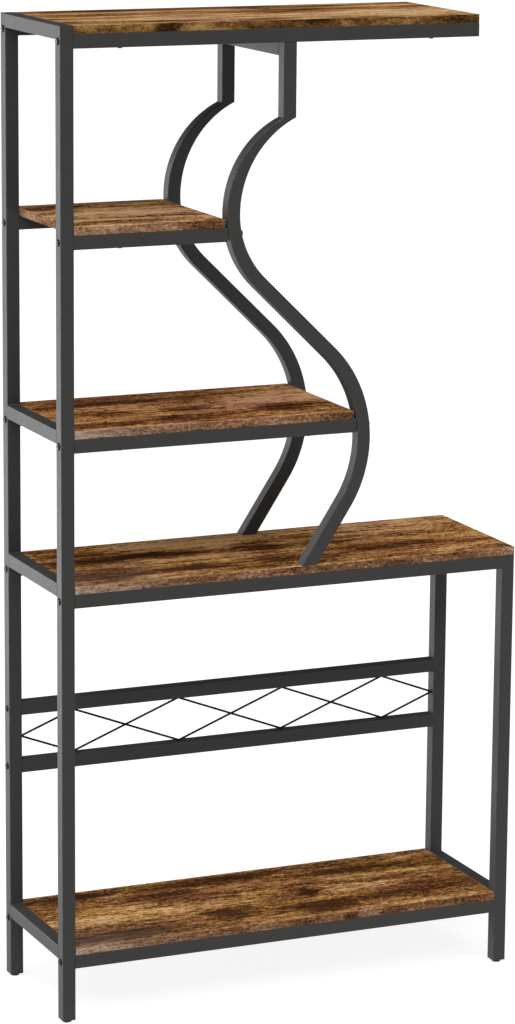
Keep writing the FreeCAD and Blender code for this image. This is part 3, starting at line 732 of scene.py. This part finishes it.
def threaded_stud():
    """Threaded stud on the Z axis, from the origin up: a core with eased ends and a ridge round it."""
    low, high = [Vector(corner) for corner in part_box("left_front_foot_stud")]
    radius = (high.x - low.x) / 2.0
    length = high.z - low.z
    core_radius = radius - THREAD_DEPTH
    core = begin(
        bpy.ops.mesh.primitive_cylinder_add,
        vertices=STUD_SIDES, radius=core_radius, depth=length, location=(0.0, 0.0, length / 2.0),
    )
    settle(core)

    def on_an_end(edge):
        first, second = [core.data.vertices[corner].co for corner in edge.vertices]
        return first.z == second.z

    pick(core, "EDGE", on_an_end)
    bpy.ops.mesh.bevel(offset=THREAD_DEPTH, segments=2)
    bpy.ops.object.mode_set(mode="OBJECT")

    # The ridge starts as a triangle that points outwards, and climbs one pitch in each turn
    ridge = begin(
        bpy.ops.mesh.primitive_circle_add,
        vertices=3, radius=THREAD_DEPTH, rotation=(math.pi / 2.0, 0.0, 0.0),
    )
    settle(ridge)
    bpy.ops.object.mode_set(mode="EDIT")
    bpy.ops.mesh.select_all(action="SELECT")
    bpy.ops.transform.rotate(value=math.pi / 2.0, orient_axis="Y", center_override=(0.0, 0.0, 0.0))
    bpy.ops.transform.translate(value=(core_radius, 0.0, THREAD_PITCH))
    bpy.ops.object.mode_set(mode="OBJECT")
    climb = ridge.modifiers.new("climb", "SCREW")
    climb.screw_offset = THREAD_PITCH
    climb.iterations = int(length / THREAD_PITCH) - 2
    climb.steps = THREAD_STEPS
    climb.render_steps = THREAD_STEPS
    bpy.ops.object.modifier_apply(modifier=climb.name)
    bpy.ops.object.mode_set(mode="EDIT")
    bpy.ops.mesh.select_all(action="SELECT")
    bpy.ops.mesh.fill_holes(sides=3)
    bpy.ops.mesh.select_all(action="SELECT")
    bpy.ops.mesh.normals_make_consistent(inside=False)
    bpy.ops.object.mode_set(mode="OBJECT")
    stud = joined("stud", [core, ridge])
    bpy.ops.object.shade_smooth_by_angle(angle=STUD_SMOOTH)
    return stud


def ribbed_pad():
    """Foot pad on the Z axis, on the floor: ribs round its rim to turn it by, and a hollow underside."""
    low, high = [Vector(corner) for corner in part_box("left_front_foot_pad")]
    radius = (high.x - low.x) / 2.0
    height = high.z - low.z
    core_radius = radius - GRIP_DEPTH
    core = begin(
        bpy.ops.mesh.primitive_cylinder_add,
        vertices=PAD_SIDES, radius=core_radius, depth=height, location=(0.0, 0.0, height / 2.0),
    )
    settle(core)
    pick(core, "FACE", lambda face: face.normal.z < -0.9)
    bpy.ops.mesh.inset(thickness=PAD_RIM)
    bpy.ops.mesh.inset(thickness=PAD_HOLLOW)
    bpy.ops.transform.translate(value=(0.0, 0.0, PAD_HOLLOW))
    bpy.ops.object.mode_set(mode="OBJECT")

    def on_rim(edge):
        ends = [core.data.vertices[corner].co for corner in edge.vertices]
        level = abs(ends[0].z - ends[1].z) < PAD_EASE / 10.0
        return level and min(end.xy.length for end in ends) > core_radius - PAD_EASE

    pick(core, "EDGE", on_rim)
    bpy.ops.mesh.bevel(offset=PAD_EASE, segments=3)
    bpy.ops.object.mode_set(mode="OBJECT")

    # One rib, half sunk in the core, with its outer corners rounded
    half_width = math.pi * radius / GRIP_RIBS / 2.0
    rib = begin(bpy.ops.mesh.primitive_cube_add, size=1.0, location=(core_radius, 0.0, height / 2.0))
    rib.scale = (2.0 * GRIP_DEPTH, 2.0 * half_width, height - 4.0 * PAD_EASE)
    settle(rib)

    def on_outside(edge):
        return all(rib.data.vertices[corner].co.x > core_radius for corner in edge.vertices)

    pick(rib, "EDGE", on_outside)
    bpy.ops.mesh.bevel(offset=PAD_EASE, segments=2)
    bpy.ops.object.mode_set(mode="OBJECT")
    turns = [2.0 * math.pi * step / GRIP_RIBS for step in range(GRIP_RIBS)]
    ribs = [copy_to(rib, (0.0, 0.0, 0.0), (0.0, 0.0, turn)) for turn in turns]
    bpy.data.objects.remove(rib)
    pad = joined("pad", [core] + ribs)
    bpy.ops.object.shade_smooth_by_angle(angle=PAD_SMOOTH)
    return pad


def make_feet():
    """A threaded stud and a ribbed pad for each levelling foot."""
    stud = threaded_stud()
    pad = ribbed_pad()
    for body in frame["bodies"]:
        if not body.endswith("_foot"):
            continue
        for model, kind, slot in ((stud, "_stud", "plated_steel"), (pad, "_pad", "black_plastic")):
            node = body + kind
            low, high = [Vector(corner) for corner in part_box(node)]
            piece = copy_to(model, ((low.x + high.x) / 2.0, (low.y + high.y) / 2.0, low.z))
            piece.name = node + "_detail"
            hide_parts(node)
            dressed(piece, body, slot)
    bpy.data.objects.remove(stud)
    bpy.data.objects.remove(pad)


def white_to_the_eye(tree):
    """Value that is 1 for rays from the camera, reflections and clear materials, and 0 for the others."""
    path = tree.nodes.new("ShaderNodeLightPath")
    seen = path.outputs["Is Camera Ray"]
    for name in ("Is Glossy Ray", "Is Transmission Ray"):
        either = tree.nodes.new("ShaderNodeMath")
        either.operation = "MAXIMUM"
        tree.links.new(seen, either.inputs[0])
        tree.links.new(path.outputs[name], either.inputs[1])
        seen = either.outputs["Value"]
    return seen


def make_world():
    """Even, dim surroundings, all one grey."""
    world = bpy.data.worlds.new("studio")
    bpy.context.scene.world = world
    world.use_nodes = True
    background = world.node_tree.nodes["Background"]
    background.inputs["Color"].default_value = (1.0, 1.0, 1.0, 1.0)
    background.inputs["Strength"].default_value = AMBIENT


def make_floor():
    """Plain floor that shows white and keeps the stand's shadow."""
    floor = begin(bpy.ops.mesh.primitive_plane_add, size=FLOOR_SIZE)
    floor.name = "floor"
    paint = bpy.data.materials.new("pale_floor")
    paint.use_nodes = True
    tree = paint.node_tree
    tree.nodes.clear()
    output = tree.nodes.new("ShaderNodeOutputMaterial")
    matt = tree.nodes.new("ShaderNodeBsdfDiffuse")
    matt.inputs["Color"].default_value = FLOOR_COLOUR
    glow = tree.nodes.new("ShaderNodeEmission")
    level = tree.nodes.new("ShaderNodeMath")
    level.operation = "MULTIPLY"
    tree.links.new(white_to_the_eye(tree), level.inputs[0])
    level.inputs[1].default_value = FLOOR_GLOW
    tree.links.new(level.outputs["Value"], glow.inputs["Strength"])
    both = tree.nodes.new("ShaderNodeAddShader")
    tree.links.new(matt.outputs["BSDF"], both.inputs[0])
    tree.links.new(glow.outputs["Emission"], both.inputs[1])
    tree.links.new(both.outputs["Shader"], output.inputs["Surface"])
    floor.data.materials.append(paint)


def make_lamp(kind, name, place, power, **settings):
    """Lamp that points at the middle of the stand and lights it without being seen itself."""
    lamp = bpy.data.objects.new(name, bpy.data.lights.new(name, kind))
    bpy.context.scene.collection.objects.link(lamp)
    lamp.data.energy = power
    for setting, value in settings.items():
        setattr(lamp.data, setting, value)
    lamp.visible_camera = False
    lamp.location = place
    lamp.rotation_mode = "QUATERNION"
    lamp.rotation_quaternion = (STAND_MIDDLE - Vector(place)).to_track_quat("-Z", "Y")


finishes = dress_nodes()
weld_frames()
make_feet()
make_camera()
make_world()
make_floor()
make_lamp("SUN", "overhead", (-1.4, -2.4, 5.0), power=3.1, angle=math.radians(70.0))
make_lamp("AREA", "left_rear", (-2.6, 3.4, 1.60), power=78.0, shape="RECTANGLE", size=2.4, size_y=2.2)
make_lamp("AREA", "left_low", (-1.9, 1.7, 0.30), power=20.0, shape="RECTANGLE", size=1.4, size_y=0.5)
bpy.context.scene.view_settings.view_transform = "Standard"
